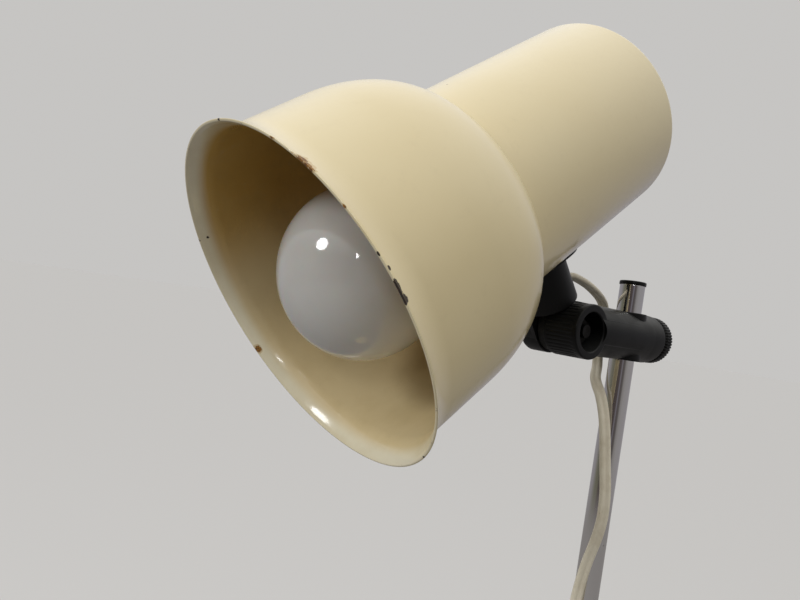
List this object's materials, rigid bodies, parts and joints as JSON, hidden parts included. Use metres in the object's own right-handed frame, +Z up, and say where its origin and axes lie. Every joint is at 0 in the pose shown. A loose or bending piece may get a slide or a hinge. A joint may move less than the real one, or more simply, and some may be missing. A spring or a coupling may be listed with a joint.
{
  "type": "floor lamp",
  "caption": "Floor lamp: bell-shaped cream enamel spot on a black cross clamp that slides and turns on a slim chrome stem, with round base and corded switch.",
  "frame": {"origin": "on the floor under the middle of the base, on the stem's axis", "axes": "+Z up along the stem, -Y the way the spot points, +X across, parallel to the tilt axis"},
  "size_m": [0.23, 0.3399, 1.2531],
  "materials": {
    "enamel": "glossy cream enamel, chipped and rust-speckled with age",
    "black_plastic": "semi-gloss black moulding",
    "nylon": "natural matt",
    "rubber": "matt",
    "felt": "short pile",
    "chrome": "polished plating",
    "steel": "zinc plated",
    "iron": "as cast",
    "brass": "plain turned",
    "opal_glass": "glossy opal white",
    "flex": "satin, a little soiled",
    "ivory_plastic": "semi-gloss moulding"
  },
  "bodies": {
    "stand": {"base_pad": "felt", "base_weight": "iron", "base_cover": "enamel", "stem_stud": "steel", "stem_washer": "steel", "stem_nut": "steel", "stem": "chrome", "stem_collar": "black_plastic", "stem_cap": "black_plastic", "cord_drop": "flex", "cord_floor": "flex", "cord_lead": "flex", "cord_coil": "flex", "cord_tail": "flex", "coil_tie": "rubber", "switch_base": "ivory_plastic", "switch_cover": "ivory_plastic", "switch_screws": "steel", "plug_body": "ivory_plastic", "plug_pins": "brass"},
    "rocker": {"switch_rocker": "ivory_plastic"},
    "bush": {"clamp_bush": "nylon"},
    "clamp": {"clamp_body": "black_plastic", "pressure_pad": "steel", "friction_disc": "rubber", "cord_loop": "flex"},
    "knob": {"clamp_screw": "steel", "clamp_knob": "black_plastic"},
    "head": {"neck": "black_plastic", "pivot_bolt": "steel", "pivot_washer": "steel", "pivot_nut": "steel", "neck_screws": "steel", "cord_grommet": "black_plastic", "shade": "enamel", "holder_bracket": "steel", "holder_nipple": "brass", "holder_nut": "brass", "holder_dome": "black_plastic", "holder_skirt": "black_plastic", "holder_insulator": "ivory_plastic", "holder_shell": "brass", "holder_contact": "brass", "inner_lead": "flex", "bulb_glass": "opal_glass", "bulb_cap": "steel", "bulb_contact": "black_plastic"}
  },
  "joints": [
    {"name": "height_slide", "type": "slide", "parent": "stand", "child": "bush", "axis": [0, 0, 1], "range_m": [-0.6, 0.01], "deforming": ["cord_drop"]},
    {"name": "swivel", "type": "hinge", "parent": "bush", "child": "clamp", "pos_m": [0, 0, 1.1253], "axis": [0, 0, 1], "range_deg": [-150, 150], "deforming": ["cord_drop"]},
    {"name": "tilt", "type": "hinge", "parent": "clamp", "child": "head", "pos_m": [-0.0085, -0.045, 1.1243], "axis": [-1, 0, 0], "range_deg": [-50, 38], "deforming": ["cord_loop"]},
    {"name": "knob_turn", "type": "hinge", "parent": "clamp", "child": "knob", "pos_m": [0, 0.02, 1.1253], "axis": [0, 1, 0], "range_deg": [0, 360]},
    {"name": "switch_rocker", "type": "hinge", "parent": "stand", "child": "rocker", "pos_m": [0.015, -0.183, 0.0114], "axis": [0, -1, 0], "range_deg": [0, 16]}
  ]
}
